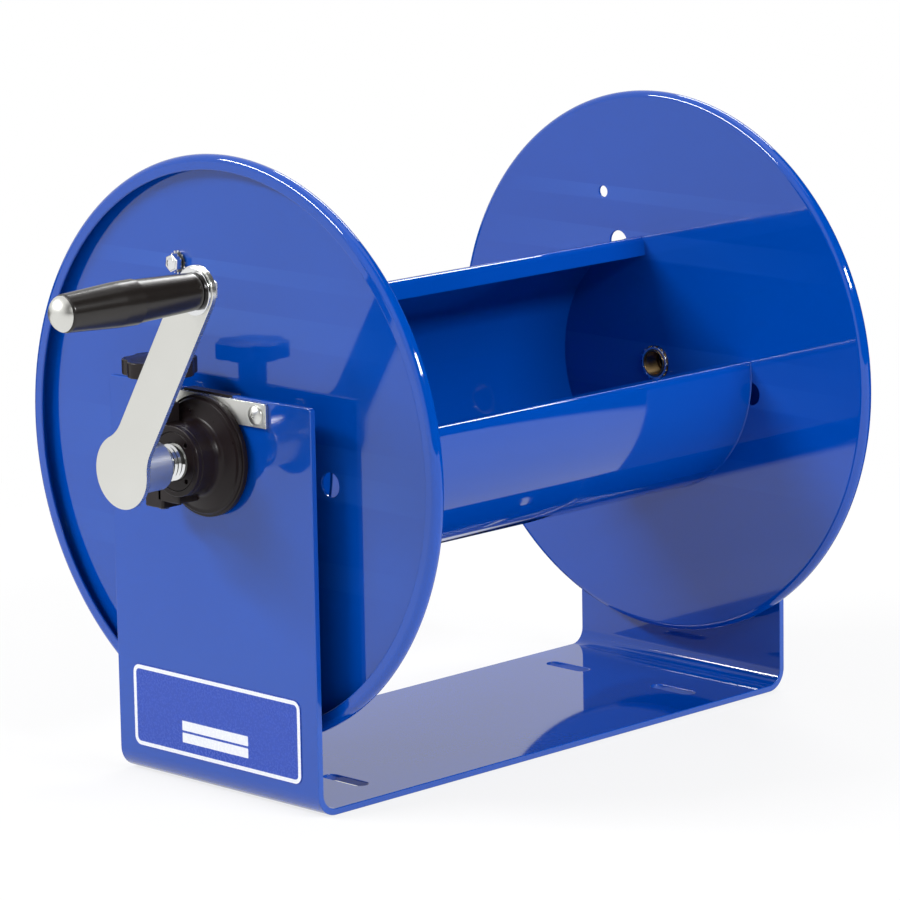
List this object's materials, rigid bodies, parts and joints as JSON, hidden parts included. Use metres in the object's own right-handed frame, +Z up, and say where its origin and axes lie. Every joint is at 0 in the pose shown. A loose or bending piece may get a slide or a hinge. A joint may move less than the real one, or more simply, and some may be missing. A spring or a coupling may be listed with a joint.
{
  "type": "hose reel",
  "caption": "Hand-crank storage reel on a bent-plate stand: open-slot drum between two rolled-rim discs, drag brake with lobed knob, swivel inlet.",
  "frame": {"origin": "middle of the stand's underside, on the floor plane", "axes": "X along the axle with the crank at -X and the inlet at +X, Y across the stand, Z up"},
  "size_m": [0.5517, 0.3036, 0.3301],
  "materials": {
    "blue_paint": "glossy powder coat",
    "black_plastic": "semi-gloss moulded",
    "zinc_steel": "satin zinc plate",
    "bright_steel": "bright plate",
    "brass": "machined",
    "seal_rubber": "matte",
    "label_film": "printed film"
  },
  "bodies": {
    "frame": {"stand": "blue_paint", "label_plate": "label_film", "crank_side_bearing": "black_plastic", "crank_side_strap": "zinc_steel", "crank_side_strap_screws": "bright_steel", "crank_side_strap_nuts": "zinc_steel", "inlet_side_bearing": "black_plastic", "inlet_side_strap": "zinc_steel", "inlet_side_strap_screws": "bright_steel", "inlet_side_strap_nuts": "zinc_steel", "brake_nut": "zinc_steel", "brake_washer": "zinc_steel"},
    "brake_handle": {"brake_knob": "black_plastic", "brake_screw": "zinc_steel"},
    "reel": {"crank_side_disc": "blue_paint", "inlet_side_disc": "blue_paint", "drum_shell": "blue_paint", "hub_plate": "blue_paint", "crank_shaft": "bright_steel", "shaft_lock_washer": "zinc_steel", "shaft_lock_nut": "zinc_steel", "crank_side_spacer": "zinc_steel", "outlet_axle": "brass", "outlet_lock_ring": "zinc_steel", "inlet_side_spacer": "zinc_steel", "disc_bolt": "bright_steel", "disc_star_washer": "bright_steel", "disc_bolt_nut": "zinc_steel", "crank_collar": "bright_steel", "crank_arm": "zinc_steel", "grip_spindle": "bright_steel", "grip_wide_washer": "bright_steel", "grip_thin_washer": "bright_steel", "spindle_nut": "zinc_steel", "swivel_seals": "seal_rubber", "swivel_retaining_ring": "zinc_steel"},
    "grip": {"hand_grip": "black_plastic"},
    "swivel": {"swivel_body": "brass"}
  },
  "joints": [
    {"name": "brake_turn", "type": "hinge", "parent": "frame", "child": "brake_handle", "pos_m": [-0.1933, 0.0194, 0.1784], "axis": [0, 0, 1], "range_deg": [0, 360]},
    {"name": "reel_spin", "type": "hinge", "parent": "frame", "child": "reel", "pos_m": [0, 0, 0.1784], "axis": [1, 0, 0], "continuous": true},
    {"name": "grip_spin", "type": "hinge", "parent": "reel", "child": "grip", "pos_m": [-0.28, -0.05887, 0.27637], "axis": [1, 0, 0], "continuous": true},
    {"name": "swivel_spin", "type": "hinge", "parent": "frame", "child": "swivel", "pos_m": [0.204, 0, 0.1784], "axis": [1, 0, 0], "continuous": true}
  ]
}
